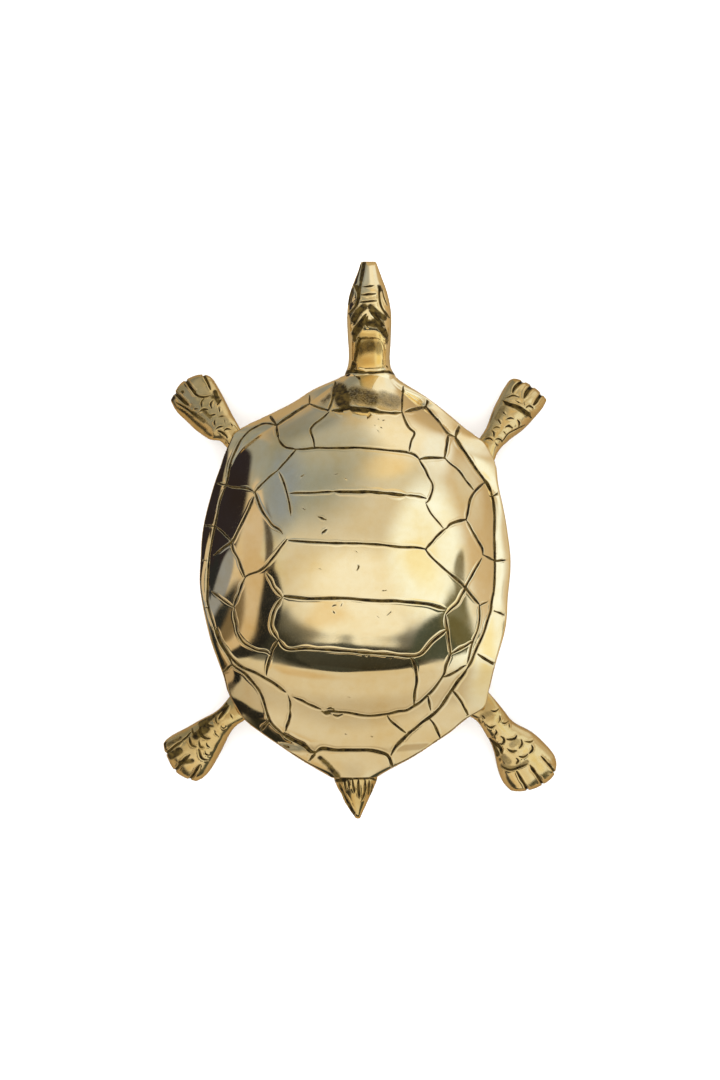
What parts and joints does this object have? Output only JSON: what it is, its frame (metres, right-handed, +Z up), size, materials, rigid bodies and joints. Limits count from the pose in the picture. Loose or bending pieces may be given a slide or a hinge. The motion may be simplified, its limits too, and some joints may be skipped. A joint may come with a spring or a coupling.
{
  "type": "turtle figurine",
  "caption": "Hollow-cast brass turtle with a domed, scute-carved shell, raised head, splayed feet and a fluted tail.",
  "frame": {"origin": "on the surface that the turtle stands on, under the middle of the whole animal", "axes": "+Y from tail to head, +X to the turtle's right, +Z up"},
  "size_m": [0.1062, 0.1503, 0.042],
  "materials": {
    "polished_brass": "mirror polish, dark patina in the cuts",
    "leg_brass": "polish worn on the high places, brown patina in the cuts",
    "belly_brass": "as cast and rubbed, dull",
    "screw_brass": "turned, dulled"
  },
  "bodies": {
    "root": {"carapace": "polished_brass", "plastron": "belly_brass", "head_and_neck": "polished_brass", "front_left_leg": "leg_brass", "front_right_leg": "leg_brass", "rear_left_leg": "leg_brass", "rear_right_leg": "leg_brass", "tail": "leg_brass", "belly_screws": "screw_brass"}
  },
  "joints": []
}
